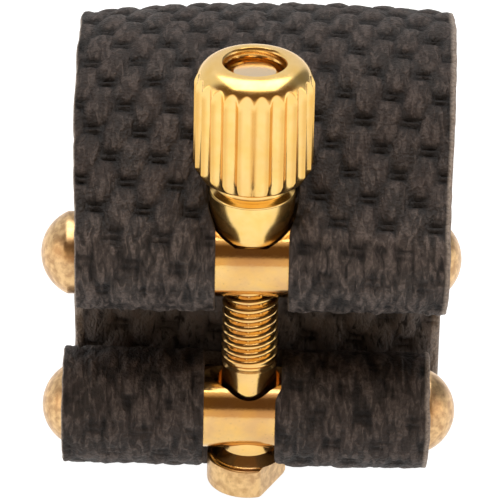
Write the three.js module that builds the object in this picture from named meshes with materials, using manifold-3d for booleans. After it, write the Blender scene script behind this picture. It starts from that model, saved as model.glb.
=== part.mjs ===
// Leather saxophone ligature with one screw. Millimetres, +Z up.
// X runs along the mouthpiece, -Y is the screw side, Z runs along the screw.
// The origin is the centre of the ring that goes round the mouthpiece.
import * as THREE from 'three';
import Module from 'manifold-3d';
import { mergeVertices } from 'three/addons/utils/BufferGeometryUtils.js';

const wasm = await Module();
wasm.setup();

// Driving dimensions
const leather = 1.15;            // thickness of the leather
const ringRadius = 16.2;         // outer radius of the band round the mouthpiece
const bandLeft = -12.3;          // edges of the upper half of the band
const bandRight = 13.4;
const lowerLeft = -12.9;         // the band is sewn slightly askew, so its lower end sits further left
const lowerRight = 12.5;
const splitGap = 0.3;            // gap between the two halves at the back of the band

const screwY = -13.6;            // the screw axis, and the centre line of both rods
const rodHeight = 6.03;          // height of each rod's centre above and below the ring's centre
const rodRadius = 2.83;
const rodReach = 14.35;          // half of a rod's length over its domed ends
const domeRadius = 3.09;
const rodFit = 0.07;             // play of a rod in its leather loop
const loopRadius = rodRadius + rodFit + leather;

const tongueFront = -8.75;       // front face of the tongue, behind both rods
const tongueBottom = -8.4;
const tongueTopAngle = 72;       // how far the tongue is glued up under the band, from +Y
const tongueLeft = -12.35;
const tongueRight = 13.35;
const glueGap = 0.1;

const studRadius = 1.9;
const studTop = 20.1;
const threadBottom = -1.73;
const shankRadius = 1.86;
const rodHoleRadius = 2.15;
const headRadius = 2.83;
const headTop = -9.65;
const headBottom = -11.85;
const headFlat = 1.97;           // distance of the head's flat side from the screw axis
const headFlatTurn = -27;        // the flat looks this many degrees from +X towards -Y

const nutTop = 20.78;
const nutRadius = 4.035;
const nutBore = 2.06;
const fluteBottom = 12.42;
const shoulderStart = 19.6;
const fluteCount = 24;
const fluteDepth = 0.24;        // each flute is a hollow scoop, with a thin crest on either side
const noseTop = 11.24;
const noseRadius = 2.93;
const noseBottom = 7.9;
const noseEndRadius = 2.35;
const noseBulge = 2.6;           // power of the nose's side curve: upright above, turning in below
const seatGap = 0.14;

const notchNarrow = 2.55;        // half width of the notch beside the stud
const notchWide = 3.2;           // radius of the notch round the nut's nose and the screw's head
const notchWideRise = rodRadius / 2;  // height above a rod's centre where its notch widens
const swingRoom = 1.3;           // how far the upper notch runs back, as the nut tilts in it
const nutRoomGap = 0.35;
const nutRoomLow = 11.5;

const roundSegments = 32;
const bandSegments = 22;
const rad = THREE.MathUtils.degToRad;

const leatherLook = { color: 0x3a3330, roughness: 0.72, metalness: 0 };
const liningLook = { color: 0x2a2522, roughness: 0.8, metalness: 0 };
const goldLook = { color: 0xd9a24a, roughness: 0.22, metalness: 1 };

// A geometry as a closed, outward-facing solid with shared vertices and no empty triangles.
function solid(geometry) {
  const bare = geometry.clone();
  bare.deleteAttribute('normal');
  bare.deleteAttribute('uv');
  const merged = mergeVertices(bare, 1e-4);
  const corners = [];
  const index = merged.index.array;
  for (let i = 0; i < index.length; i += 3) {
    const [a, b, c] = index.slice(i, i + 3);
    if (a !== b && b !== c && c !== a) corners.push(a, b, c);
  }
  const triVerts = new Uint32Array(corners);
  const vertProperties = new Float32Array(merged.attributes.position.array);
  if (signedVolume(vertProperties, triVerts) < 0) triVerts.reverse();
  return new wasm.Manifold(new wasm.Mesh({ numProp: 3, vertProperties, triVerts }));
}

function signedVolume(vertices, triangles) {
  const corner = (i) => new THREE.Vector3().fromArray(vertices, 3 * triangles[i]);
  let sum = 0;
  for (let i = 0; i < triangles.length; i += 3) {
    sum += corner(i).dot(corner(i + 1).cross(corner(i + 2)));
  }
  return sum / 6;
}

function namedMesh(name, body, look) {
  const result = body.getMesh();
  const geometry = new THREE.BufferGeometry();
  geometry.setAttribute('position', new THREE.BufferAttribute(new Float32Array(result.vertProperties), 3));
  geometry.setIndex(new THREE.BufferAttribute(new Uint32Array(result.triVerts), 1));
  geometry.computeVertexNormals();
  const mesh = new THREE.Mesh(geometry, new THREE.MeshStandardMaterial(look));
  mesh.name = name;
  return mesh;
}

// An outline drawn in the YZ plane, pushed along X from one edge to the other.
function alongX(shape, left, right) {
  const geometry = new THREE.ExtrudeGeometry(shape, {
    depth: right - left, bevelEnabled: false, curveSegments: bandSegments,
  });
  const turn = new THREE.Matrix4().makeBasis(
    new THREE.Vector3(0, 1, 0), new THREE.Vector3(0, 0, 1), new THREE.Vector3(1, 0, 0));
  geometry.applyMatrix4(turn).translate(left, 0, 0);
  return solid(geometry);
}

// A profile of [radius, height] pairs turned about the vertical screw axis.
function turned(profile, segments = roundSegments) {
  const points = profile.map(([r, z]) => new THREE.Vector2(r, z));
  const geometry = new THREE.LatheGeometry(points, segments);
  geometry.rotateX(Math.PI / 2).translate(0, screwY, 0);
  return solid(geometry);
}

function arcPoints(centreR, centreZ, radius, from, to, steps) {
  const points = [];
  for (let i = 0; i <= steps; i += 1) {
    const a = rad(from + (to - from) * i / steps);
    points.push([centreR + radius * Math.cos(a), centreZ + radius * Math.sin(a)]);
  }
  return points;
}

function post(radius, low, high) {
  return turned([[0, low], [radius, low], [radius, high], [0, high]]);
}

// A post drawn out towards +Y by the given reach.
function longPost(radius, low, high, reach) {
  const near = post(radius, low, high);
  return near.add(block(-radius, radius, screwY, screwY + reach, low, high))
    .add(near.translate([0, reach, 0]));
}

function block(x0, x1, y0, y1, z0, z1) {
  const geometry = new THREE.BoxGeometry(x1 - x0, y1 - y0, z1 - z0);
  geometry.translate((x0 + x1) / 2, (y0 + y1) / 2, (z0 + z1) / 2);
  return solid(geometry);
}

// Where the band leaves the ring in a straight line to the outside of the loop round a rod:
// the direction of the outer tangent's normal, from +Y towards +Z.
const rodAngle = Math.atan2(rodHeight, screwY);
const tangentAngle = rodAngle - Math.acos((ringRadius - loopRadius) / Math.hypot(screwY, rodHeight));

// Height of the straight part's line at a distance y, for a line that far from the origin.
function straightHeight(y, distance) {
  return (distance - y * Math.cos(tangentAngle)) / Math.sin(tangentAngle);
}

// Half of the band: up from the split at the back, over the top, straight to the rod,
// round it and up again to be glued inside. side is 1 for the upper half, -1 for the lower.
function bandHalf(side, left, right) {
  const inner = ringRadius - leather;
  const startAngle = Math.asin(splitGap / 2 / ringRadius);
  const tailY = screwY + loopRadius;
  const outline = new THREE.Shape();
  outline.absarc(0, 0, ringRadius, startAngle, tangentAngle, false);
  outline.absarc(screwY, rodHeight, loopRadius, tangentAngle, 2 * Math.PI, false);
  outline.lineTo(tailY, straightHeight(tailY, inner));
  outline.absarc(0, 0, inner, tangentAngle, startAngle, true);
  const rodRoom = new THREE.Path();
  rodRoom.absarc(screwY, rodHeight, rodRadius + rodFit, 0, 2 * Math.PI, true);
  outline.holes.push(rodRoom);
  return alongX(outline, left, right).scale([1, 1, side]);
}

// The notch that bares the rod: a slot beside the stud, wider round the nose or the head.
function notch(side, left, right, reach) {
  const low = rodHeight - loopRadius - 1;
  const high = straightHeight(screwY + notchWide + reach, ringRadius) + 1;
  const wideFrom = rodHeight + notchWideRise;
  const slot = block(left, right, screwY - loopRadius - 1, screwY, low, high);
  return slot.add(post(notchNarrow, low, high)).add(longPost(notchWide, wideFrom, high, reach))
    .scale([1, 1, side]);
}

function upperStrap() {
  const nutRoom = longPost(nutRadius + nutRoomGap, nutRoomLow, nutTop, swingRoom - 0.3);
  return bandHalf(1, bandLeft, bandRight).subtract(notch(1, -2.5, 2.6, swingRoom)).subtract(nutRoom);
}

function lowerStrap() {
  return bandHalf(-1, lowerLeft, lowerRight).subtract(notch(-1, -3.1, 2.25, 0.01));
}

function innerTongue() {
  const front = ringRadius - leather - glueGap;
  const back = front - leather;
  const tongueBack = tongueFront + leather;
  const topAngle = rad(tongueTopAngle);
  const outline = new THREE.Shape();
  outline.moveTo(tongueFront, tongueBottom);
  outline.lineTo(tongueFront, straightHeight(tongueFront, front));
  outline.absarc(0, 0, front, tangentAngle, topAngle, true);
  outline.absarc(0, 0, back, topAngle, tangentAngle, false);
  outline.lineTo(tongueBack, straightHeight(tongueBack, back));
  outline.lineTo(tongueBack, tongueBottom);
  return alongX(outline, tongueLeft, tongueRight);
}

// A plain rod with domed ends, lying along X at the given height.
function plainRod(height) {
  const domeCentre = rodReach - domeRadius;
  const edge = THREE.MathUtils.radToDeg(Math.asin(rodRadius / domeRadius));
  const end = arcPoints(0, domeCentre, domeRadius, 90 - edge, 90, 5);
  end[end.length - 1][0] = 0;
  const start = end.map(([r, z]) => [r, -z]).reverse();
  const points = [...start, ...end].map(([r, z]) => new THREE.Vector2(r, z));
  const geometry = new THREE.LatheGeometry(points, roundSegments);
  geometry.rotateZ(-Math.PI / 2).translate(0, screwY, height);
  return solid(geometry);
}

const noseFall = noseTop - noseBottom;

function noseRadiusAt(z) {
  return noseRadius - (noseRadius - noseEndRadius) * ((noseTop - z) / noseFall) ** noseBulge;
}

function upperRod() {
  const rodTop = rodHeight + rodRadius;
  const seatBottom = noseBottom - seatGap;
  const seat = turned([
    [0, seatBottom], [noseEndRadius + seatGap, seatBottom],
    [noseRadiusAt(rodTop) + seatGap, rodTop], [noseRadius + seatGap, rodTop + 1], [0, rodTop + 1],
  ]);
  const hole = post(rodHoleRadius, rodHeight - rodRadius - 1, rodTop + 1);
  return plainRod(rodHeight).subtract(hole).subtract(seat);
}

function lowerRod() {
  const low = -rodHeight - rodRadius;
  const high = -rodHeight + rodRadius;
  const hole = post(rodHoleRadius, low - 1, high + 1);
  const rim = turned([
    [0, high - 0.6], [rodHoleRadius, high - 0.6], [rodHoleRadius + 1.2, high + 0.6], [0, high + 0.6],
  ]);
  const sink = turned([
    [0, low - 0.6], [rodHoleRadius + 1.2, low - 0.6], [rodHoleRadius, low + 0.6], [0, low + 0.6],
  ]);
  return plainRod(-rodHeight).subtract(hole).subtract(rim).subtract(sink);
}

// One screw: round head with a flat side, a short nose, a plain shank and the threaded stem.
function clampStud() {
  const chamfer = 0.35;
  const noseHigh = headTop + 0.75;
  const body = turned([
    [0, headBottom], [headRadius - chamfer, headBottom], [headRadius, headBottom + chamfer],
    [headRadius, headTop - 0.05], [headRadius - 0.4, headTop], [shankRadius, noseHigh],
    [shankRadius, threadBottom], [studRadius, threadBottom], [studRadius, studTop - 0.5],
    [studRadius - 0.45, studTop], [0, studTop],
  ]);
  const size = 2 * headRadius;
  const flat = new THREE.BoxGeometry(size, 2 * size, headTop - headBottom + 1);
  flat.translate(headFlat + size / 2, 0, (headTop + headBottom - 1) / 2);
  flat.rotateZ(rad(headFlatTurn)).translate(0, screwY, 0);
  return body.subtract(solid(flat));
}

// The ridged outline of the nut, longer than the nut itself.
function ridges() {
  const outline = new THREE.Shape();
  const pointsPerRidge = 4;
  const count = fluteCount * pointsPerRidge;
  for (let i = 0; i < count; i += 1) {
    const phase = (i % pointsPerRidge) / pointsPerRidge;
    const r = nutRadius - fluteDepth * (1 - (2 * Math.abs(phase - 0.5)) ** 2);
    const a = 2 * Math.PI * i / count;
    const place = [r * Math.cos(a), r * Math.sin(a)];
    if (i === 0) outline.moveTo(...place);
    else outline.lineTo(...place);
  }
  const depth = nutTop - noseBottom + 2;
  const geometry = new THREE.ExtrudeGeometry(outline, { depth, bevelEnabled: false });
  geometry.translate(0, screwY, noseBottom - 1);
  return solid(geometry);
}

function thumbNut() {
  const noseSteps = [0, 0.33, 0.67, 1].map((t) => {
    const z = noseBottom + noseFall * t;
    return [noseRadiusAt(z), z];
  });
  const shoulder = arcPoints(nutBore + 0.45, shoulderStart, 1, 0, 90, 5).map(([r, z]) => [
    nutBore + 0.45 + (nutRadius - nutBore - 0.45) * (r - nutBore - 0.45),
    shoulderStart + (nutTop - shoulderStart) * (z - shoulderStart),
  ]);
  const profile = [
    [nutBore, noseBottom], ...noseSteps, [2.55, noseTop + 0.2], [2.55, fluteBottom - 0.3],
    [nutRadius - 0.3, fluteBottom], [nutRadius, fluteBottom + 0.35], ...shoulder,
    [nutBore, nutTop - 0.25], [nutBore, noseBottom],
  ];
  return turned(profile, 48).intersect(ridges());
}

const group = new THREE.Group();
group.add(
  namedMesh('upper_strap', upperStrap(), leatherLook),
  namedMesh('lower_strap', lowerStrap(), leatherLook),
  namedMesh('inner_tongue', innerTongue(), liningLook),
  namedMesh('upper_rod', upperRod(), goldLook),
  namedMesh('lower_rod', lowerRod(), goldLook),
  namedMesh('clamp_stud', clampStud(), goldLook),
  namedMesh('thumb_nut', thumbNut(), goldLook),
);

export default group;
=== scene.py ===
"""A leather saxophone ligature, closed by one screw. The looks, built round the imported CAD."""

import math

import bmesh
import bpy
import numpy as np
from mathutils import Matrix, Vector


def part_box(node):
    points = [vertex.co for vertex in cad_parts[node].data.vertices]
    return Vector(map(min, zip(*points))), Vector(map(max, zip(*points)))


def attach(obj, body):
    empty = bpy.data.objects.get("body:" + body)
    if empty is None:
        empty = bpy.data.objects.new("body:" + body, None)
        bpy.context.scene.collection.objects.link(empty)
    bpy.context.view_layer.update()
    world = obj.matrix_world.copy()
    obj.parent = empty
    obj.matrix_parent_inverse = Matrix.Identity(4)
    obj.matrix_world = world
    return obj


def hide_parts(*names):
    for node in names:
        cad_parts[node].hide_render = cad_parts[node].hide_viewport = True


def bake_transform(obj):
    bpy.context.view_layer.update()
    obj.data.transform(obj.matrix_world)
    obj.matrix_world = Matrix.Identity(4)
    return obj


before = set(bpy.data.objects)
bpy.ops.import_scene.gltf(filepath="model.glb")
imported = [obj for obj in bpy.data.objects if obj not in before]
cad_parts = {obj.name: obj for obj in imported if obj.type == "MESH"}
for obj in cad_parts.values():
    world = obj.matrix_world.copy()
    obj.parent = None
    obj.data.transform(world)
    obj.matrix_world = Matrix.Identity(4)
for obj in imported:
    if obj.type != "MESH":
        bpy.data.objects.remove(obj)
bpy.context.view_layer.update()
MM = 0.001


def box_mm(node):
    """A CAD node's lowest and highest corners, in millimetres."""
    low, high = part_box(node)
    return np.array(low) / MM, np.array(high) / MM


# ---- Sizes, in millimetres, from the frame where it holds them ----
ROD_LOW, ROD_HIGH = box_mm("upper_rod")
STUD_LOW, STUD_HIGH = box_mm("clamp_stud")
NUT_LOW, NUT_HIGH = box_mm("thumb_nut")
BAND_LOW, BAND_HIGH = box_mm("upper_strap")
LOWER_HIGH = box_mm("lower_strap")[1]
TONGUE_LOW, TONGUE_HIGH = box_mm("inner_tongue")

ROD_RADIUS = (ROD_HIGH[2] - ROD_LOW[2]) / 2
ROD_REACH = ROD_HIGH[0]
ROD_Z = (ROD_HIGH[2] + ROD_LOW[2]) / 2
SCREW_Y = (ROD_HIGH[1] + ROD_LOW[1]) / 2
RING_RADIUS = LOWER_HIGH[1]
LOOP_RADIUS = SCREW_Y - BAND_LOW[1]
ROD_PLAY = 0.07
LEATHER = LOOP_RADIUS - ROD_RADIUS - ROD_PLAY
TONGUE_FRONT = TONGUE_LOW[1]
TONGUE_BOTTOM = TONGUE_LOW[2]
GLUE_GAP = 0.1
DRAWN_THIN = 0.24
FLOOR_GAP = 0.3
LEATHER_WELD = 0.0005
ROD_WELD = 0.001

DOME_RADIUS = 3.09
ROD_HOLE = 2.2
THREAD_CREST = 1.95
THREAD_ROOT = 1.56
THREAD_PITCH = 0.7
THREAD_START = -1.73
SHANK_RADIUS = 1.9
HEAD_TOP = -9.65
HEAD_FLAT = 1.97
HEAD_FLAT_TURN = math.radians(-27)

NUT_RADIUS = 4.035
NUT_BORE = 2.06
BORE_THREAD_DEPTH = 0.12
BORE_THREAD_LENGTH = 3.2
FLUTE_COUNT = 24
FLUTE_DEPTH = 0.3
FLUTE_BOTTOM = 12.42
NOSE_TOP = 11.24
NOSE_RADIUS = 2.93
NOSE_END_RADIUS = 2.35
NOSE_BULGE = 2.6

# The weave stamped into the leather: slots stand at whole steps of these two, as (across, along).
SLOT_STEP = np.array([3.28, 0.19])
ROW_STEP = np.array([1.22, 2.12])
SLOT_START = np.array([-7.7, 1.32])
COLUMN = 2 * ROW_STEP - SLOT_STEP
DOME_HALF_WIDTH = 1.0
DOME_HALF_LENGTH = 1.82
DOME_RISE = 0.33
BAR_RISE = 0.08
BAR_WIDTH = 0.12
DASH_DEPTH = 0.15
DASH_OFFSET = 0.27
DASH_WIDTH = 0.115
RELIEF_DROP = 0.2
BAND_SEED, TONGUE_SEED = 31, 41

ROW_SPACING = 0.155
COLUMN_COUNT = 57
COARSE = 4


# ---- Small helpers ----
def smoothstep(low, high, value):
    t = np.clip((value - low) / (high - low), 0, 1)
    return t * t * (3 - 2 * t)


def value_noise(x, y, cell_x, cell_y, seed):
    """Smooth seeded noise from -1 to 1 over a plane, with its own cell size each way."""
    table = np.random.RandomState(seed).rand(256, 256) * 2 - 1
    u, v = np.asarray(x) / cell_x + 64, np.asarray(y) / cell_y + 64
    i, j = np.floor(u).astype(int), np.floor(v).astype(int)
    a, b = u - i, v - j
    a, b = a * a * (3 - 2 * a), b * b * (3 - 2 * b)
    i0, i1, j0, j1 = i % 256, (i + 1) % 256, j % 256, (j + 1) % 256
    low = table[i0, j0] * (1 - a) + table[i1, j0] * a
    high = table[i0, j1] * (1 - a) + table[i1, j1] * a
    return low * (1 - b) + high * b


def new_object(name, vertices_mm, faces, materials, sharp_degrees=35, face_slots=None):
    mesh = bpy.data.meshes.new(name)
    mesh.from_pydata((np.asarray(vertices_mm) * MM).tolist(), [], faces)
    for material in materials:
        mesh.materials.append(material)
    if face_slots is not None:
        mesh.polygons.foreach_set("material_index", face_slots)
    mesh.polygons.foreach_set("use_smooth", [True] * len(mesh.polygons))
    mesh.set_sharp_from_angle(angle=math.radians(sharp_degrees))
    mesh.update()
    obj = bpy.data.objects.new(name, mesh)
    bpy.context.scene.collection.objects.link(obj)
    return obj


def weld(obj, distance_mm):
    """Joins vertices that lie almost at one place, so that the mesh is closed."""
    mesh = bmesh.new()
    mesh.from_mesh(obj.data)
    bmesh.ops.remove_doubles(mesh, verts=mesh.verts, dist=distance_mm * MM)
    mesh.to_mesh(obj.data)
    mesh.free()


# ---- Materials ----
class Nodes:
    """A material's node tree, with short ways to add and join nodes."""

    def __init__(self, name):
        self.material = bpy.data.materials.new(name)
        self.material.use_nodes = True
        self.tree = self.material.node_tree
        self.shader = self.tree.nodes["Principled BSDF"]
        self.place = self.add("ShaderNodeTexCoord").outputs["Object"]

    def add(self, kind, **values):
        node = self.tree.nodes.new(kind)
        for key, value in values.items():
            setattr(node, key, value)
        return node

    def join(self, source, target):
        self.tree.links.new(source, target)

    def stretched(self, scale):
        node = self.add("ShaderNodeMapping")
        node.inputs["Scale"].default_value = scale
        self.join(self.place, node.inputs["Vector"])
        return node.outputs["Vector"]

    def noise(self, size_mm, detail=2, vector=None, warp=0.0):
        node = self.add("ShaderNodeTexNoise")
        node.inputs["Distortion"].default_value = warp
        node.inputs["Scale"].default_value = 1 / (size_mm * MM)
        node.inputs["Detail"].default_value = detail
        self.join(vector or self.place, node.inputs["Vector"])
        return node.outputs["Fac"]

    def cells(self, size_mm):
        node = self.add("ShaderNodeTexVoronoi", feature="F1")
        node.inputs["Scale"].default_value = 1 / (size_mm * MM)
        self.join(self.place, node.inputs["Vector"])
        return node.outputs["Distance"]

    def ramp(self, value, stops):
        node = self.add("ShaderNodeValToRGB")
        elements = node.color_ramp.elements
        while len(elements) < len(stops):
            elements.new(0.5)
        for element, (position, colour) in zip(elements, stops):
            element.position = position
            element.color = (*colour, 1)
        self.join(value, node.inputs["Fac"])
        return node.outputs["Color"]

    def levels(self, value, from_low, from_high, to_low, to_high):
        node = self.add("ShaderNodeMapRange")
        for key, number in zip(("From Min", "From Max", "To Min", "To Max"),
                               (from_low, from_high, to_low, to_high)):
            node.inputs[key].default_value = number
        self.join(value, node.inputs["Value"])
        return node.outputs["Result"]

    def mixed(self, factor, first, second, blend="MIX"):
        node = self.add("ShaderNodeMix", data_type="RGBA", blend_type=blend)
        self.fill(node.inputs["Factor"], factor)
        self.fill(node.inputs[6], first)
        self.fill(node.inputs[7], second)
        return node.outputs[2]

    def maths(self, operation, first, second):
        node = self.add("ShaderNodeMath", operation=operation)
        self.fill(node.inputs[0], first)
        self.fill(node.inputs[1], second)
        return node.outputs[0]

    def fill(self, socket, value):
        if isinstance(value, bpy.types.NodeSocket):
            self.join(value, socket)
        elif isinstance(value, (int, float)):
            socket.default_value = value
        else:
            socket.default_value = (*value, 1)

    def attribute(self, name):
        return self.add("ShaderNodeAttribute", attribute_name=name).outputs["Fac"]

    def bump(self, height, depth_mm, below=None):
        node = self.add("ShaderNodeBump")
        node.inputs["Strength"].default_value = 1.0
        node.inputs["Distance"].default_value = depth_mm * MM
        self.join(height, node.inputs["Height"])
        if below is not None:
            self.join(below, node.inputs["Normal"])
        return node.outputs["Normal"]

    def finish(self, colour, roughness, normal=None):
        self.fill(self.shader.inputs["Base Color"], colour)
        self.fill(self.shader.inputs["Roughness"], roughness)
        if normal is not None:
            self.join(normal, self.shader.inputs["Normal"])
        return self.material


def embossed_leather():
    n = Nodes("embossed_leather")
    n.shader.inputs["Specular IOR Level"].default_value = 0.26
    painted_relief_shade = n.attribute("painted_relief_shade")
    mottle = n.noise(2.6, 3)
    grain = n.noise(0.2, 4)
    pebbles = n.cells(0.26)
    wrinkles = n.noise(0.4, 3, n.stretched((1.0, 0.36, 0.36)), warp=0.7)
    painted_lift = n.attribute("painted_lift")
    tone = n.ramp(mottle, [(0.3, (0.016, 0.0112, 0.0085)), (0.7, (0.034, 0.0235, 0.0195))])
    # Painted light: the colour is lifted towards a pale brown on the loops, and fully on the
    # tongue.
    tone = n.mixed(painted_lift, tone, (0.112, 0.098, 0.091))
    # Painted highlight: lighter streaks on the wrinkle ridges, strongest on the loops.
    painted_ridge_highlight = n.maths("MULTIPLY", n.levels(wrinkles, 0.48, 0.6, 0, 1),
                    n.levels(grain, 0.4, 0.62, 0.35, 1))
    painted_ridge_highlight = n.maths("MULTIPLY", painted_ridge_highlight, n.levels(painted_lift, 0, 0.18, 0.5, 1))
    worn = n.mixed(painted_ridge_highlight, tone, (0.122, 0.097, 0.086))
    # Painted shade: a near-black colour in the wrinkle furrows, stronger on the loops.
    painted_furrow_shade = n.maths("MULTIPLY", n.levels(wrinkles, 0.33, 0.46, 0.9, 0),
                     n.levels(painted_lift, 0, 0.18, 0.55, 1))
    worn = n.mixed(painted_furrow_shade, worn, (0.009, 0.0065, 0.0055))
    # Painted shade: the colour sinks to near black where the weave and its creases sink.
    deep = n.mixed(n.levels(painted_relief_shade, 0.05, 0.75, 0.95, 0), worn, (0.004, 0.0028, 0.0024))
    # A lighter rim by the leather's edges: partly edge wear, partly painted highlight so it shows
    # in shade.
    rim = n.maths("MULTIPLY", n.attribute("rim"), n.levels(grain, 0.3, 0.6, 0.45, 1))
    colour = n.mixed(rim, deep, (0.30, 0.25, 0.21))
    roughness = n.levels(n.maths("ADD", grain, mottle), 0.7, 1.3, 0.56, 0.78)
    normal = n.bump(pebbles, 0.06)
    normal = n.bump(wrinkles, 0.2, normal)
    normal = n.bump(grain, 0.09, normal)
    return n.finish(colour, roughness, normal)


def flesh_side():
    """The unfinished inner side of the leather."""
    n = Nodes("leather_flesh_side")
    n.shader.inputs["Specular IOR Level"].default_value = 0.2
    fibres = n.noise(0.12, 4)
    patches = n.noise(1.8, 2)
    colour = n.ramp(n.maths("MULTIPLY", fibres, patches),
                    [(0.12, (0.020, 0.016, 0.014)), (0.42, (0.060, 0.050, 0.044))])
    return n.finish(colour, 0.92, n.bump(fibres, 0.05))


def cut_edge():
    """The raw fibres where the leather was cut."""
    n = Nodes("leather_cut_edge")
    n.shader.inputs["Specular IOR Level"].default_value = 0.2
    fibres = n.noise(0.1, 4, n.stretched((0.35, 1, 1)))
    colour = n.ramp(fibres, [(0.3, (0.045, 0.036, 0.031)), (0.7, (0.16, 0.135, 0.12))])
    return n.finish(colour, 0.95, n.bump(fibres, 0.06))


def gold(name, tarnish, roughness):
    """Polished gold-coloured plating with specks, and browned in patches."""
    n = Nodes(name)
    n.shader.inputs["Metallic"].default_value = 1.0
    patches = n.noise(2.2, 4)
    specks = n.cells(0.34)
    fine = n.noise(0.13, 3)
    tone = n.ramp(n.noise(1.1, 2), [(0.35, (0.90, 0.58, 0.17)), (0.65, (0.96, 0.66, 0.24))])
    aged = n.mixed(n.levels(patches, 0.36, 0.66, 0.3 * tarnish, tarnish), tone,
                   (0.46, 0.235, 0.125))
    land = n.maths("MULTIPLY", n.attribute("land"), 0.55)
    aged = n.mixed(land, aged, (0.62, 0.33, 0.07))
    worn = n.attribute("worn")
    dull = n.ramp(n.noise(0.5, 4), [(0.38, (0.42, 0.25, 0.13)), (0.62, (0.74, 0.50, 0.26))])
    aged = n.mixed(n.maths("MULTIPLY", worn, 0.85), aged, dull)
    aged = n.mixed(n.attribute("bare"), aged, (0.71, 0.54, 0.345))
    spot = n.levels(specks, 0.06, 0.13, tarnish, 0)
    colour = n.mixed(spot, aged, (0.25, 0.13, 0.08))
    rough = n.levels(n.maths("ADD", fine, patches), 0.8, 1.35,
                     roughness, roughness + 0.1 * tarnish + 0.03)
    rough = n.maths("ADD", rough, n.maths("MULTIPLY", worn, 0.2))
    normal = n.bump(fine, 0.002 + 0.002 * tarnish)
    return n.finish(colour, rough, normal)


LEATHER_LOOKS = [embossed_leather(), flesh_side(), cut_edge()]
GOLD_CLEAN = gold("gold_clean", 0.22, 0.19)
GOLD_ROD = gold("gold_rod", 0.62, 0.1)
GOLD_SCREW = gold("gold_screw", 0.5, 0.14)


# ---- The leather: paths of its outer face in the YZ plane ----
ROD_ANGLE = math.atan2(ROD_Z, SCREW_Y)
TANGENT = ROD_ANGLE - math.acos((RING_RADIUS - LOOP_RADIUS) / math.hypot(SCREW_Y, ROD_Z))


def arc(centre, radius, start, end, spacing):
    """Points and outward normals along an arc, angles in radians."""
    count = max(2, int(abs(end - start) * radius / spacing))
    angles = np.linspace(start, end, count)
    normals = np.stack([np.cos(angles), np.sin(angles)], 1)
    return np.array(centre) + radius * normals, normals


def line(start, end, normal, spacing):
    start, end = np.array(start, float), np.array(end, float)
    count = max(2, int(np.linalg.norm(end - start) / spacing))
    t = np.linspace(0, 1, count)[:, None]
    return start + (end - start) * t, np.repeat([np.array(normal, float)], count, 0)


class Path:
    """A smooth line made of stretches, read at any distance along it."""

    def __init__(self, stretches):
        points = np.concatenate([p for p, _ in stretches])
        normals = np.concatenate([n for _, n in stretches])
        steps = np.linalg.norm(np.diff(points, axis=0), axis=1)
        keep = np.concatenate([[True], steps > 1e-6])
        self.points, self.normals = points[keep], normals[keep]
        steps = np.linalg.norm(np.diff(self.points, axis=0), axis=1)
        self.along = np.concatenate([[0], np.cumsum(steps)])
        self.length = self.along[-1]

    def at(self, s):
        read = lambda table, k: np.interp(s, self.along, table[:, k])
        points = np.stack([read(self.points, 0), read(self.points, 1)], 1)
        normals = np.stack([read(self.normals, 0), read(self.normals, 1)], 1)
        return points, normals / np.linalg.norm(normals, axis=1)[:, None]


FINE = 0.02
ON_TANGENT = np.array([math.cos(TANGENT), math.sin(TANGENT)])
ROD_CENTRE = np.array([SCREW_Y, ROD_Z])
TAIL_Y = SCREW_Y + LOOP_RADIUS


def line_height(y, distance):
    """Height at y of the line that lies that far from the ring's centre, along the tangent."""
    return (distance - y * ON_TANGENT[0]) / ON_TANGENT[1]


def band_half_stretches():
    """From the end of the upper tail down behind the rod, round it, and over the top to the
    back."""
    tail_top = line_height(TAIL_Y, RING_RADIUS - LEATHER) - 0.08
    tail = line((TAIL_Y, tail_top), (TAIL_Y, ROD_Z), (1, 0), FINE)
    loop = arc(ROD_CENTRE, LOOP_RADIUS, 2 * math.pi, TANGENT, FINE)
    straight = line(ROD_CENTRE + LOOP_RADIUS * ON_TANGENT, RING_RADIUS * ON_TANGENT,
                    ON_TANGENT, FINE)
    ring = arc((0, 0), RING_RADIUS, TANGENT, 0, FINE)
    return [tail, loop, straight, ring]


def mirrored(stretches):
    flip = np.array([1, -1])
    return [(p[::-1] * flip, n[::-1] * flip) for p, n in reversed(stretches)]


UPPER = band_half_stretches()
BAND = Path(UPPER + mirrored(UPPER))
HALF = BAND.length / 2
stretch_length = lambda part: np.linalg.norm(np.diff(part[0], axis=0), axis=1).sum()
TAIL_LENGTH, LOOP_LENGTH, STRAIGHT_LENGTH = (stretch_length(part) for part in UPPER[:3])
LOOP_END = TAIL_LENGTH + LOOP_LENGTH
STRAIGHT_END = LOOP_END + STRAIGHT_LENGTH


def loop_distance(degrees):
    """How far along the band a place on the upper loop is, by its angle from +Y."""
    return TAIL_LENGTH + math.radians(360 - degrees) * LOOP_RADIUS


def straight_distance(y):
    """How far along the band a place on the upper straight part is."""
    start = ROD_CENTRE[0] + LOOP_RADIUS * ON_TANGENT[0]
    return LOOP_END + (y - start) / ON_TANGENT[1]


# Where each notch opens and closes, as distances from the nearer end of the band.
TAIL_SLIT = ROD_Z + 1.6
SLIT_END = TAIL_LENGTH - (TAIL_SLIT - ROD_Z)
STUD_END = loop_distance(322)
FRONT = loop_distance(180)
UPPER_NOTCH_END = straight_distance(-8.2)
LOWER_NOTCH_END = straight_distance(-10.25)


def spaced(start, end, spacing, tight_start=False, tight_end=False):
    """Distances from start to end in a multiple of COARSE steps, closer together at a tight end."""
    blocks = max(1, round((end - start) / (COARSE * spacing)))
    u = np.linspace(0, 1, blocks * COARSE + 1)
    if tight_start:
        u = u * u
    elif tight_end:
        u = 1 - (1 - u) ** 2
    return start + (end - start) * u


def joined(parts):
    return np.concatenate([parts[0]] + [part[1:] for part in parts[1:]])


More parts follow.
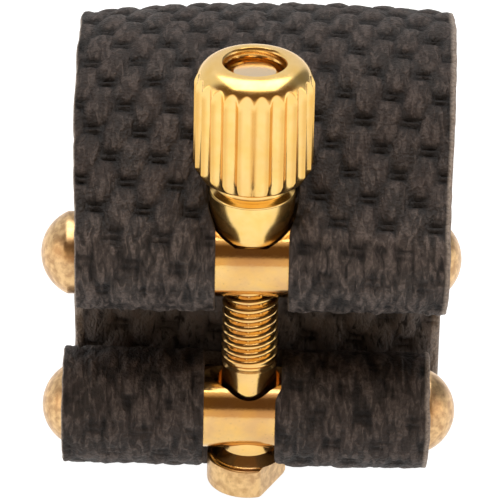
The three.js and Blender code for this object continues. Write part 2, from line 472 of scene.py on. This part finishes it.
def half_distances(notch_end):
    ease = 1.1
    return joined([
        spaced(0, SLIT_END - ease, 0.4),
        spaced(SLIT_END - ease, SLIT_END, 0.14, tight_end=True),
        spaced(SLIT_END, STUD_END, 0.3),
        spaced(STUD_END, STUD_END + ease, 0.14, tight_start=True),
        spaced(STUD_END + ease, notch_end - ease, ROW_SPACING),
        spaced(notch_end - ease, notch_end, 0.09, tight_end=True),
        spaced(notch_end, HALF, ROW_SPACING),
    ])


UPPER_ROWS = half_distances(UPPER_NOTCH_END)
LOWER_ROWS = BAND.length - half_distances(LOWER_NOTCH_END)[::-1]
BAND_ROWS = joined([UPPER_ROWS, LOWER_ROWS])


def round_end(distance, radius, power=2.0):
    """Share of the full width of a notch, at a distance inside its round end."""
    t = np.clip(1 - distance / radius, 0, 1)
    return (1 - t ** power) ** (1 / power)


def notch_edges(s):
    """The notch's left and right edges across the band, at each distance along it."""
    points, _ = BAND.at(s)
    upper = s < HALF
    q = np.where(upper, s, BAND.length - s)
    y = points[:, 0]
    end = np.where(upper, UPPER_NOTCH_END, LOWER_NOTCH_END)
    slit = q < SLIT_END
    open_front = (q > STUD_END) & (q < end)
    outer = q > FRONT
    nose_room = 0.52 * smoothstep(-16.2, -14.2, y) + 0.2 * smoothstep(-13.6, -12.4, y)
    nut_room = 1.0 * smoothstep(-12.6, -11.3, y)  # the nut's body dips in here as the band closes
    nose_room = np.where(outer, nose_room + nut_room, 0)
    left_low = -3.1 - np.where(outer, 0.35 * smoothstep(-16.6, -14.8, y), 0)
    left = np.where(upper, -2.45 - nose_room, left_low)
    right_low = 1.85 + 0.42 * smoothstep(-16.9, -16.0, y)
    right_low = right_low + np.where(outer, 0.65 * smoothstep(-16.4, -14.4, y), 0)
    right = np.where(upper, 2.55 + nose_room, right_low)
    shape = np.where(
        outer,
        round_end(end - q, np.where(upper, 4.2, 3.3), 2.4),
        round_end(q - STUD_END, 2.5, 2.0),
    )
    slit_shape = round_end(SLIT_END - q, 1.0, 2.0)
    share = np.where(slit, slit_shape, np.where(open_front, shape, 0))
    middle = np.where(upper, 0.05, -0.4)
    left = np.where(slit, -3.1, left)
    right = np.where(slit, 3.1, right)
    return middle + (left - middle) * share, middle + (right - middle) * share


def band_edges(s):
    """The band's left and right edges. It lies slightly askew, and is wider over the top."""
    along_front = smoothstep(LOOP_END - 4, STRAIGHT_END + 12, s)
    back = smoothstep(HALF - 22, HALF + 10, s)
    low = smoothstep(HALF + 8, BAND.length - STRAIGHT_END, s)
    ripple = 0.05 * value_noise(s, 0 * s, 2.1, 1, 11) + 0.03 * value_noise(s, 0 * s, 0.7, 1, 12)
    other = 0.05 * value_noise(s, 0 * s, 2.4, 1, 13) + 0.03 * value_noise(s, 0 * s, 0.6, 1, 14)
    near_loop = smoothstep(LOOP_END - 4, STRAIGHT_END + 2, s)
    left = BAND_LOW[0] + 0.4 - 0.5 * near_loop + 0.5 * back - 1.0 * low
    right = BAND_HIGH[0] + 0.75 * along_front - 0.45 * back - 1.2 * low
    return left + ripple, right + other


def crown(x, s):
    """How far the band stands off its plain ring over the top: bowed, and higher on the right."""
    over = smoothstep(STRAIGHT_END - 5, STRAIGHT_END + 4, s) * smoothstep(HALF - 6, HALF - 18, s)
    return over * (0.6 * (1 - (x / 13) ** 2) + 0.3 * x / 13 - 0.05)


# ---- The weave ----
def weave(across, along, seed):
    """Height in mm and painted shade (0 deep, 1 proud) of the stamped basket weave: darker off the
    domes and in the slots.
    """
    place = np.stack([across, along], -1) - SLOT_START
    steps = np.stack([SLOT_STEP, ROW_STEP], 1)
    nearest = np.round(place @ np.linalg.inv(steps).T)
    column = COLUMN / np.linalg.norm(COLUMN)
    side = np.array([column[1], -column[0]])
    swell = np.zeros(across.shape)
    cut = np.zeros(across.shape)
    bar = np.zeros(across.shape)
    dice = np.random.RandomState(seed).rand(256, 256, 3)
    for di in (-2, -1, 0, 1, 2):
        for dj in (-2, -1, 0, 1, 2):
            cell = nearest + (di, dj)
            chance = dice[cell[..., 0].astype(int) % 256, cell[..., 1].astype(int) % 256]
            jitter = (chance[..., :2] - 0.5) * (0.16, 0.14)
            slot = cell @ steps.T + jitter
            off = place - slot
            bump_off = off - COLUMN / 2
            m = bump_off @ column
            n = bump_off @ side
            dome = np.clip(
                1 - np.abs(n / DOME_HALF_WIDTH) ** 2.3 - np.abs(m / DOME_HALF_LENGTH) ** 2.9, 0, 1)
            swell = np.maximum(swell, dome ** 0.8 * (0.8 + 0.3 * chance[..., 2]))
            window = smoothstep(0.62, 0.38, np.abs(off[..., 0]))
            dashes = np.exp(-((off[..., 1] - DASH_OFFSET) / DASH_WIDTH) ** 2)
            dashes = dashes + np.exp(-((off[..., 1] + DASH_OFFSET) / DASH_WIDTH) ** 2)
            cut = np.maximum(cut, window * dashes)
            bar = np.maximum(bar, window * np.exp(-(off[..., 1] / BAR_WIDTH) ** 2))
    height = DOME_RISE * swell + BAR_RISE * bar - DASH_DEPTH * cut - RELIEF_DROP
    # Painted shade: dark between the domes and in the slot dashes, lighter on the domes and bars.
    shade = np.clip(0.06 + 1.0 * swell + 0.22 * bar - 0.7 * cut, 0, 1)
    return height, shade


def leather_surface(across, along, bend, seed):
    """Height and painted shade of the grain side. bend runs from 0 where flat to 1 round a rod."""
    height, shade = weave(across, along, seed)
    soft = 1 - 0.62 * bend
    creases = value_noise(across, along, 0.30, 1.5, seed + 1)
    creases = creases + 0.6 * value_noise(across, along, 0.17, 0.9, seed + 2)
    sag = value_noise(across, along, 4.5, 5.0, seed + 3)
    grain = value_noise(across, along, 0.24, 0.3, seed + 4)
    height = height * soft - 0.02 * bend
    height = height + (0.024 + 0.06 * bend) * creases + 0.05 * sag + 0.012 * grain
    # Painted shade: darker in the crease hollows and lighter on their crests; round a rod the shade
    # is lifted and the creases count for more.
    shade = shade * (1 - 0.3 * bend) + 0.3 * bend + (0.08 + 0.36 * bend) * creases
    return height, np.clip(shade, 0, 1)


# ---- Sheets of leather ----
def columns(start, end, count):
    """Places from start to end for each row, closer together beside both edges."""
    tight = np.array([0, 0.045, 0.11, 0.2])
    inner = np.linspace(0, 1, count - 2 * len(tight) + 2)[1:-1]
    span = (end - start)[:, None]
    first, last = start[:, None] + tight, end[:, None] - tight[::-1]
    middle = start[:, None] + tight[-1] + (span - 2 * tight[-1]) * inner
    return np.concatenate([first, middle, last], 1)


def edge_drop(distance, radius):
    t = np.clip(1 - distance / radius, 0, 1)
    return -radius * (1 - np.sqrt(1 - t * t))


def leather_sheet(name, path, rows, edges, notch, surface, painted_lift, rims, skive=0.16,
                  mitre=None, stand_off=None):
    """A closed sheet of leather along a path: a stamped outer face, a coarser inner face and cut
    edges. surface(x, s) gives the outer face's height and painted shade, and the lift function
    gives, along s, how far painted light brightens its colour."""
    points, normals = path.at(rows)
    left, right = edges
    open_left, open_right = notch
    is_open = open_right - open_left > 1e-6
    halves = [columns(left, open_left, COLUMN_COUNT), columns(open_right, right, COLUMN_COUNT)]
    vertices, shades, worn, painted_lifts, index = [], [], [], [], []
    total = 0
    for side, x in enumerate(halves):
        s = np.repeat(rows[:, None], x.shape[1], 1)
        height, shade = surface(x, s)
        outer_gap = x - left[:, None] if side == 0 else right[:, None] - x
        notch_gap = open_left[:, None] - x if side == 0 else x - open_right[:, None]
        height = height * smoothstep(0, 0.45, outer_gap) + edge_drop(outer_gap, skive)
        height = height + np.where(is_open[:, None], edge_drop(notch_gap, 0.14), 0)
        if stand_off is not None:
            height = height + stand_off(x, s)
        p = points[:, None, :] + normals[:, None, :] * height[..., None]
        vertices.append(np.concatenate([x[..., None], p], -1).reshape(-1, 3))
        shades.append(shade.reshape(-1))
        # The lighter edge rim: partly edge wear, partly painted highlight.
        worn.append(smoothstep(rims[side], 0.55 * rims[side], outer_gap).reshape(-1))
        painted_lifts.append(painted_lift(s).reshape(-1))
        index.append(np.arange(total, total + x.size).reshape(x.shape))
        total += x.size
    index[1][~is_open, 0] = index[0][~is_open, -1]

    pick_row = np.arange(0, len(rows), COARSE)
    inner_index = []
    for side, x in enumerate(halves):
        few = x[pick_row][:, ::COARSE]
        p = points[pick_row] - normals[pick_row] * LEATHER
        if mitre is not None:
            p = mitre(p, rows[pick_row])
        p = np.repeat(p[:, None, :], few.shape[1], 1)
        if stand_off is not None:
            along = np.repeat(rows[pick_row][:, None], few.shape[1], 1)
            lift = np.maximum(0, stand_off(few, along))
            p = p + normals[pick_row][:, None, :] * lift[..., None]
        vertices.append(np.concatenate([few[..., None], p], -1).reshape(-1, 3))
        shades.append(np.full(few.size, 0.5))
        worn.append(np.zeros(few.size))
        painted_lifts.append(np.zeros(few.size))
        inner_index.append(np.arange(total, total + few.size).reshape(few.shape))
        total += few.size
    closed_few = ~is_open[pick_row]
    inner_index[1][closed_few, 0] = inner_index[0][closed_few, -1]

    faces, slots = [], []

    def grid(table, flip, slot):
        a, b = table[:-1, :-1].ravel(), table[:-1, 1:].ravel()
        c, d = table[1:, 1:].ravel(), table[1:, :-1].ravel()
        quads = np.stack([a, d, c, b] if flip else [a, b, c, d], 1)
        faces.extend(quads.tolist())
        slots.extend([slot] * len(quads))

    def wall(fine, few, flip):
        """Joins a fine line of the outer face to a coarse line of the inner face."""
        for k in range(len(few) - 1):
            ring = list(fine[k * COARSE:(k + 1) * COARSE + 1]) + [few[k + 1], few[k]]
            ring = [int(v) for i, v in enumerate(ring) if v != ring[i - 1]]
            faces.append(ring[::-1] if flip else ring)
            slots.append(2)

    for table in index:
        grid(table, True, 0)
    for table in inner_index:
        grid(table, False, 1)
    wall(index[0][:, 0], inner_index[0][:, 0], True)
    wall(index[1][:, -1], inner_index[1][:, -1], False)
    for side in (0, 1):
        wall(index[side][0], inner_index[side][0], False)
        wall(index[side][-1], inner_index[side][-1], True)
    for k in range(len(pick_row) - 1):
        span = slice(k * COARSE, (k + 1) * COARSE + 1)
        if not is_open[span][1:-1].any():
            continue
        wall(index[0][span, -1], inner_index[0][k:k + 2, -1], False)
        wall(index[1][span, 0], inner_index[1][k:k + 2, 0], True)
    used = np.unique(np.concatenate([np.array(f) for f in faces]))
    renumber = np.full(total, -1)
    renumber[used] = np.arange(len(used))
    faces = [[int(renumber[v]) for v in reversed(face)] for face in faces]
    obj = new_object(name, np.concatenate(vertices)[used], faces, LEATHER_LOOKS, 50, slots)
    # Attributes for the colour: painted shade of the hollows, a lighter edge rim (edge wear and
    # painted highlight), and the painted light lift.
    for label, values in (("painted_relief_shade", shades), ("rim", worn), ("painted_lift", painted_lifts)):
        attribute = obj.data.attributes.new(label, "FLOAT", "POINT")
        attribute.data.foreach_set("value", np.concatenate(values)[used].astype(np.float32))
    weld(obj, LEATHER_WELD)
    return obj


def band_surface(x, s):
    q = np.minimum(s, BAND.length - s)
    bend = smoothstep(LOOP_END + 1.5, LOOP_END - 4.0, q)
    along = np.where(s < HALF, STRAIGHT_END - s, STRAIGHT_END - s + 0.8)
    return leather_surface(x, along, bend, BAND_SEED)


def band_stand_off(x, s):
    """The crown over the top, and under the upper rod the leather drawn tight, and so thinner."""
    from_front = smoothstep(loop_distance(195), loop_distance(235), s)
    to_back = smoothstep(loop_distance(325), loop_distance(300), s)
    return crown(x, s) - DRAWN_THIN * from_front * to_back


def band_painted_lift(s):
    """Painted light: the colour is lightened round the rods, more on the upper loops than the
    lower.
    """
    q = np.minimum(s, BAND.length - s)
    return np.where(s < HALF, 0.21, 0.07) * smoothstep(LOOP_END + 2.5, LOOP_END - 3.0, q)


def tail_mitre(points, s):
    """The tails end in a slant that fits under the band."""
    near_end = smoothstep(1.2, 0, np.minimum(s, BAND.length - s))
    slant = (LEATHER * -ON_TANGENT[0] / ON_TANGENT[1]) * near_end
    sign = np.where(s < HALF, -1, 1)
    return points + np.stack([0 * slant, sign * slant], 1)


def leather_band():
    band = leather_sheet(
        "leather_band", BAND, BAND_ROWS, band_edges(BAND_ROWS), notch_edges(BAND_ROWS),
        band_surface, band_painted_lift, rims=(0.12, 0.34), mitre=tail_mitre, stand_off=band_stand_off)
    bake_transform(band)
    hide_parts("upper_strap", "lower_strap")
    return band


def tongue_path():
    """The tongue's front face: up behind both rods, then back under the top of the band."""
    fold = 1.3
    front = RING_RADIUS - LEATHER - GLUE_GAP
    fold_y = TONGUE_FRONT + fold
    fold_z = line_height(fold_y, front - fold)
    upright = line((TONGUE_FRONT, TONGUE_BOTTOM), (TONGUE_FRONT, fold_z), (-1, 0), FINE)
    turn = arc((fold_y, fold_z), fold, math.pi, TANGENT, FINE)
    slope = line(turn[0][-1], front * ON_TANGENT, ON_TANGENT, FINE)
    over = arc((0, 0), front, TANGENT, math.radians(72), FINE)
    return Path([upright, turn, slope, over])


def inner_tongue():
    path = tongue_path()
    rows = spaced(0, path.length, 0.18)
    zero = 0 * rows
    tucked = 0.5 * smoothstep(11, 14, rows)
    left = zero + TONGUE_LOW[0] + tucked + 0.05 * value_noise(rows, zero, 1.6, 1, 21)
    right = zero + TONGUE_HIGH[0] + 0.05 * value_noise(rows, zero, 1.6, 1, 22)

    def surface(x, s):
        height, shade = leather_surface(x + 0.9, -s + 1.1, 0 * s, TONGUE_SEED)
        # Painted light: the tongue's painted hollow shade is lifted, so its hollows are less dark
        # than the band's.
        shade = 0.3 + 0.7 * shade
        flat = smoothstep(12.0, 15.0, s)
        return (height - 0.08) * (1 - flat) - 0.03 * flat, shade

    # Painted light: the whole tongue gets the full lift to a paler colour, though it lies in the
    # shadow between the loops.
    tongue = leather_sheet(
        "tongue", path, rows, (left, right), (zero + 0.5, zero + 0.5), surface,
        painted_lift=lambda s: 1 + 0 * s, rims=(0.7, 0.7), skive=0.42)
    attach(tongue, "upper_half")
    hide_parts("inner_tongue")
    return tongue


# ---- Turned metal ----
METAL_SHARP = 30


def revolve(name, rows, count, material, shape=None):
    """A closed solid turned about Z: rows of (radius, height) from one end of the axis to the
    other. shape(angles, radius, height) may change the radius round each row."""
    angles = np.linspace(0, 2 * math.pi, count, endpoint=False)
    vertices, faces, previous = [], [], None
    for radius, height in rows:
        if radius <= 0:
            ring = [len(vertices)]
            vertices.append((0, 0, height))
        else:
            r = np.full(count, float(radius)) if shape is None else shape(angles, radius, height)
            ring = list(range(len(vertices), len(vertices) + count))
            across, deep = r * np.cos(angles), r * np.sin(angles)
            vertices.extend(np.stack([across, deep, np.full(count, height)], 1).tolist())
        if previous is not None:
            for k in range(count):
                j = (k + 1) % count
                if len(previous) == 1:
                    faces.append([previous[0], ring[j], ring[k]])
                elif len(ring) == 1:
                    faces.append([previous[k], previous[j], ring[0]])
                else:
                    faces.append([previous[k], previous[j], ring[j], ring[k]])
        previous = ring
    return new_object(name, vertices, faces, [material], METAL_SHARP)


def revolve_ring(name, rows, count, material, shape):
    """A closed ring turned about Z: the rows run once round its section."""
    angles = np.linspace(0, 2 * math.pi, count, endpoint=False)
    table = []
    for radius, height in rows:
        r = shape(angles, radius, height)
        table.append(np.stack([r * np.cos(angles), r * np.sin(angles), np.full(count, height)], 1))
    vertices = np.concatenate(table)
    index = np.arange(len(vertices)).reshape(len(rows), count)
    below, above = index, np.roll(index, -1, 0)
    quads = np.stack([below, np.roll(below, -1, 1), np.roll(above, -1, 1), above], -1)
    return new_object(name, vertices, quads.reshape(-1, 4).tolist(), [material], METAL_SHARP)


def mark(obj, label, share):
    """Writes a share from 0 to 1 on each vertex, from its place in millimetres."""
    places = np.empty(3 * len(obj.data.vertices))
    obj.data.vertices.foreach_get("co", places)
    x, y, z = places.reshape(-1, 3).T / MM
    attribute = obj.data.attributes.new(label, "FLOAT", "POINT")
    attribute.data.foreach_set("value", share(x, y, z).astype(np.float32))


def at_screw(obj):
    obj.data.transform(Matrix.Translation((0, SCREW_Y * MM, 0)))
    return obj


def between(start, end, spacing):
    """Rows from one (radius, height) to another, without the last."""
    start, end = np.array(start, float), np.array(end, float)
    count = max(1, int(np.linalg.norm(end - start) / spacing))
    return [tuple(start + (end - start) * k / count) for k in range(count)]


def rounded(points, radius, steps=4):
    """A line of (radius, height) corners with each inner corner rounded off."""
    result = [points[0]]
    for before, corner, after in zip(points, points[1:], points[2:]):
        a, c, b = (np.array(p, float) for p in (before, corner, after))
        reach = min(radius, np.linalg.norm(a - c) * 0.45, np.linalg.norm(b - c) * 0.45)
        p0 = c + (a - c) / np.linalg.norm(a - c) * reach
        p1 = c + (b - c) / np.linalg.norm(b - c) * reach
        for t in np.linspace(0, 1, steps + 1):
            result.append(tuple((1 - t) ** 2 * p0 + 2 * t * (1 - t) * c + t * t * p1))
    result.append(points[-1])
    return result


def cut(obj, cutter):
    """Takes cutter away from obj, and leaves obj with its final mesh."""
    modifier = obj.modifiers.new("cut", "BOOLEAN")
    modifier.operation = "DIFFERENCE"
    modifier.solver = "EXACT"
    modifier.object = cutter
    bpy.context.view_layer.update()
    done = obj.evaluated_get(bpy.context.evaluated_depsgraph_get())
    mesh = bpy.data.meshes.new_from_object(done)
    obj.modifiers.clear()
    old, obj.data = obj.data, mesh
    bpy.data.meshes.remove(old)
    bpy.data.objects.remove(cutter)
    return obj


def plain_rod(name, height):
    """A rod with domed ends along X, fine in the middle where the screw passes."""
    dome_centre = ROD_REACH - DOME_RADIUS
    edge = math.asin(ROD_RADIUS / DOME_RADIUS)
    dome = [(DOME_RADIUS * math.sin(edge * k / 14),
             dome_centre + DOME_RADIUS * math.cos(edge * k / 14)) for k in range(15)]
    fine = [(ROD_RADIUS, z) for z in np.arange(3.4, -3.41, -0.2)]
    side = [(ROD_RADIUS, z) for z in (dome[-1][1] - 0.05, 8.0, 5.0)]
    other = [(r, -z) for r, z in reversed(side)]
    rows = dome + side + fine + other + [(r, -z) for r, z in reversed(dome)]
    rod = revolve(name, rows[::-1], 128, GOLD_ROD)
    turn = Matrix.Translation((0, SCREW_Y * MM, height * MM)) @ Matrix.Rotation(math.pi / 2, 4, "Y")
    rod.data.transform(turn)
    return rod


def dome_wear(x, y, z):
    return smoothstep(10.5, 12.5, np.abs(x))


def cutter(rows):
    return at_screw(revolve("cutter", rows, 128, GOLD_ROD))


def finish_metal(obj, body, node, sharp=METAL_SHARP):
    obj.data.polygons.foreach_set("use_smooth", [True] * len(obj.data.polygons))
    obj.data.set_sharp_from_angle(angle=math.radians(sharp))
    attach(obj, body)
    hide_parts(node)
    return obj


NOSE_FALL = NOSE_TOP - NUT_LOW[2]


def nose_radius(z):
    """The side of the nut's nose: upright above, turning in below."""
    fall = ((NOSE_TOP - z) / NOSE_FALL) ** NOSE_BULGE
    return NOSE_RADIUS - (NOSE_RADIUS - NOSE_END_RADIUS) * fall


def upper_rod():
    top = ROD_Z + ROD_RADIUS
    seat_gap = 0.13
    seat_bottom = NUT_LOW[2] - seat_gap
    rod = plain_rod("upper_bar", ROD_Z)
    cut(rod, cutter([(0, ROD_Z - 5), (ROD_HOLE, ROD_Z - 5), (ROD_HOLE, top + 1), (0, top + 1)]))
    seat = [(nose_radius(z) + seat_gap, z) for z in np.linspace(NUT_LOW[2], top, 5)]
    slope = (NOSE_RADIUS + seat_gap + 0.35, top + 1)
    seat_floor = [(0, seat_bottom), (NOSE_END_RADIUS + seat_gap, seat_bottom)]
    cut(rod, cutter(seat_floor + seat + [slope, (0, top + 1)]))
    weld(rod, ROD_WELD)
    mark(rod, "worn", dome_wear)
    return finish_metal(rod, "upper_rod_body", "upper_rod")


def lower_rod():
    low, high = -ROD_Z - ROD_RADIUS, -ROD_Z + ROD_RADIUS
    wide = ROD_HOLE + 1.2
    rod = plain_rod("lower_bar", -ROD_Z)
    cut(rod, cutter([(0, low - 1), (ROD_HOLE, low - 1), (ROD_HOLE, high + 1), (0, high + 1)]))
    cut(rod, cutter([(0, high - 0.55), (ROD_HOLE - 0.05, high - 0.55),
                     (wide, high + 0.65), (0, high + 0.65)]))
    cut(rod, cutter([(0, low - 0.6), (wide, low - 0.6), (ROD_HOLE, low + 0.6), (0, low + 0.6)]))
    weld(rod, ROD_WELD)
    mark(rod, "worn", dome_wear)
    return finish_metal(rod, "lower_half", "lower_rod")


def thread_height(angles, height):
    """From 0 at the thread's root to 1 at its crest, for a right-hand thread."""
    phase = (height / THREAD_PITCH - angles / (2 * math.pi)) % 1
    return np.abs(np.cos(math.pi * phase)) ** 0.75


def clamp_screw():
    top, bottom = STUD_HIGH[2], STUD_LOW[2]
    radius = 2.83
    head = rounded([(0, bottom), (radius, bottom), (radius, HEAD_TOP), (2.45, HEAD_TOP),
                    (SHANK_RADIUS, HEAD_TOP + 0.75)], 0.22)
    shank = between((SHANK_RADIUS, HEAD_TOP + 0.75), (SHANK_RADIUS, THREAD_START - 0.55), 0.5)
    collar = [(SHANK_RADIUS, THREAD_START - 0.55), (SHANK_RADIUS - 0.16, THREAD_START - 0.4),
              (SHANK_RADIUS - 0.16, THREAD_START - 0.25), (THREAD_CREST, THREAD_START - 0.02)]
    step = THREAD_PITCH / 12
    thread = [(THREAD_CREST, z) for z in np.arange(THREAD_START, top - 0.02, step)]
    rows = head[:-1] + shank + collar + thread + [(1.42, top - 0.01), (1.30, top), (0, top)]

    def shape(angles, r, z):
        if z < HEAD_TOP + 0.02:
            flat = HEAD_FLAT / np.maximum(np.cos(angles - HEAD_FLAT_TURN), 1e-3)
            return np.minimum(r, np.where(flat > 0, flat, r))
        if z < THREAD_START:
            return np.full(len(angles), float(r))
        if r < THREAD_ROOT:
            return np.full(len(angles), float(r))
        share = min(1, (z - THREAD_START) / 0.5)
        full = THREAD_ROOT + (THREAD_CREST - THREAD_ROOT) * thread_height(angles, z)
        full = full * share + THREAD_CREST * (1 - share)
        return np.minimum(full, 1.42 + max(0, top - z) * 1.0)

    screw = at_screw(revolve("clamp_screw", rows, 96, GOLD_SCREW, shape))
    mark(screw, "worn", lambda x, y, z: 0.85 * smoothstep(HEAD_TOP + 0.3, HEAD_TOP - 0.2, z))
    mark(screw, "bare", lambda x, y, z: smoothstep(top - 0.12, top - 0.02, z))
    return finish_metal(screw, "lower_half", "clamp_stud", 34)


def thumb_nut():
    top, bottom = NUT_HIGH[2], NUT_LOW[2]
    rim = NUT_BORE + 0.2
    shoulder_low = 18.95
    nose = [(nose_radius(z), z) for z in np.linspace(bottom + 0.12, NOSE_TOP - 0.12, 16)]
    neck = rounded([(NOSE_RADIUS - 0.02, NOSE_TOP - 0.1), (NOSE_RADIUS - 0.03, NOSE_TOP),
                    (2.3, NOSE_TOP + 0.2), (2.3, FLUTE_BOTTOM - 0.5),
                    (3.2, FLUTE_BOTTOM - 0.12), (NUT_RADIUS - 0.45, FLUTE_BOTTOM),
                    (NUT_RADIUS, FLUTE_BOTTOM + 0.8)], 0.3)
    side = [(NUT_RADIUS, z) for z in np.linspace(FLUTE_BOTTOM + 0.95, shoulder_low - 0.1, 14)]
    shoulder = []
    for k in range(29):
        a = math.pi / 2 * k / 28
        shoulder.append((rim + (NUT_RADIUS + 0.02 - rim) * math.cos(a) ** 0.9,
                         shoulder_low + (top - shoulder_low) * math.sin(a) ** 1.05))
    mouth = [(rim - 0.05, top), (NUT_BORE + 0.06, top - 0.08), (NUT_BORE + 0.02, top - 0.2)]
    bore = [(NUT_BORE, z)
            for z in np.arange(top - 0.25, top - BORE_THREAD_LENGTH, -THREAD_PITCH / 10)]
    bore = bore + [(NUT_BORE, top - 3.6), (NUT_BORE, bottom + 0.1), (NUT_BORE + 0.08, bottom)]
    rows = [(NOSE_END_RADIUS - 0.12, bottom)] + nose + neck + side + shoulder + mouth + bore

    def shape(angles, r, z):
        if r > 2.75 and z > FLUTE_BOTTOM - 0.3:
            phase = np.abs((angles * FLUTE_COUNT / (2 * math.pi)) % 1 * 2 - 1)
            ridge = NUT_RADIUS - FLUTE_DEPTH * (1 - phase ** 2)
            return np.minimum(r, ridge)
        if abs(r - NUT_BORE) < 1e-6 and top - BORE_THREAD_LENGTH < z < top - 0.2:
            return r + BORE_THREAD_DEPTH * thread_height(angles, z)
        return np.full(len(angles), float(r))

    nut = revolve_ring("nut", rows, FLUTE_COUNT * 14, GOLD_CLEAN, shape)

    def on_crest(x, y, z):
        phase = np.abs((np.arctan2(y, x) * FLUTE_COUNT / (2 * math.pi)) % 1 * 2 - 1)
        side = smoothstep(3.5, 3.7, np.hypot(x, y))
        below = smoothstep(shoulder_low + 0.4, shoulder_low - 0.2, z)
        return smoothstep(0.35, 0.85, phase) * (side * below)

    mark(nut, "land", on_crest)
    at_screw(nut)
    return finish_metal(nut, "nut", "thumb_nut", 32)


# ---- Floor, light and camera ----
def floor():
    bpy.ops.mesh.primitive_plane_add(size=3, location=(0, 0, -(RING_RADIUS + FLOOR_GAP) * MM))
    plane = bpy.context.object
    plane.name = "floor"
    n = Nodes("floor_white")
    n.shader.inputs["Emission Color"].default_value = (1, 1, 1, 1)
    n.shader.inputs["Emission Strength"].default_value = 1.0
    plane.data.materials.append(n.finish((0.2, 0.2, 0.2), 0.9))


def sky():
    """A bright room behind and above. In front it is darker, in the bands the metal mirrors."""
    world = bpy.data.worlds.new("studio")
    bpy.context.scene.world = world
    world.use_nodes = True
    tree = world.node_tree
    place = tree.nodes.new("ShaderNodeTexCoord")
    split = tree.nodes.new("ShaderNodeSeparateXYZ")
    tree.links.new(place.outputs["Generated"], split.inputs[0])

    def ramp(source, stops, tint=(1, 1)):
        node = tree.nodes.new("ShaderNodeValToRGB")
        tree.links.new(source, node.inputs["Fac"])
        elements = node.color_ramp.elements
        while len(elements) < len(stops):
            elements.new(0.5)
        for element, (position, value) in zip(elements, stops):
            element.position = position
            if not isinstance(value, tuple):
                value = (value, value * tint[0], value * tint[1])
            element.color = (*value, 1)
        return node.outputs["Color"]

    brown = (0.135, 0.074, 0.034)
    front = ramp(split.outputs["Z"],
                 [(0.0, 0.95), (0.3, 0.85), (0.42, brown), (0.82, brown), (0.92, 0.9)],
                 tint=(0.76, 0.54))
    behind = ramp(split.outputs["Y"], [(0.0, 0.0), (0.22, 1.0)])
    mix = tree.nodes.new("ShaderNodeMix")
    mix.data_type = "RGBA"
    tree.links.new(behind, mix.inputs["Factor"])
    tree.links.new(front, mix.inputs[6])
    flag = ramp(split.outputs["X"], [(0.42, 0.9), (0.56, 0.22), (0.84, 0.22), (0.92, 0.6)])
    tree.links.new(flag, mix.inputs[7])
    tree.links.new(mix.outputs[2], tree.nodes["Background"].inputs["Color"])


def softbox(name, place_mm, target_mm, size_mm, radiance):
    light = bpy.data.lights.new(name, "AREA")
    light.shape = "RECTANGLE"
    light.size, light.size_y = size_mm[0] * MM, size_mm[1] * MM
    light.energy = radiance * math.pi * light.size * light.size_y
    obj = bpy.data.objects.new(name, light)
    obj.location = Vector(place_mm) * MM
    direction = Vector(target_mm) - Vector(place_mm)
    obj.rotation_euler = direction.to_track_quat("-Z", "Y").to_euler()
    bpy.context.scene.collection.objects.link(obj)


def camera():
    """A long lens from 29 degrees above the screw side, rolled a little as the object lies."""
    elevation, roll = math.radians(29), math.radians(1.1)
    distance, sensor, across = 290.0, 36.0, 34.5
    toward = Vector((0, -math.cos(elevation), math.sin(elevation)))
    target = Vector((-0.1, 0, -1.08))
    nearer = toward.dot(Vector((0, SCREW_Y, 0)) - target)
    data = bpy.data.cameras.new("camera")
    data.sensor_width = sensor
    data.lens = sensor * (distance - nearer) / across
    data.clip_start, data.clip_end = 0.01, 20
    obj = bpy.data.objects.new("camera", data)
    turn = (-toward).to_track_quat("-Z", "Y").to_matrix().to_4x4() @ Matrix.Rotation(roll, 4, "Z")
    obj.matrix_world = Matrix.Translation((target + toward * distance) * MM) @ turn
    bpy.context.scene.collection.objects.link(obj)
    bpy.context.scene.camera = obj


camera()
floor()
sky()
softbox("overhead", (0, 20, 260), (0, 0, 0), (320, 260), 2.6)
softbox("left_fill", (-260, -60, 60), (0, 0, 0), (120, 160), 0.8)
softbox("right_fill", (260, -60, 60), (0, 0, 0), (120, 160), 0.8)
bpy.context.scene.view_settings.view_transform = "Standard"

leather_band()
inner_tongue()
upper_rod()
lower_rod()
clamp_screw()
thumb_nut()
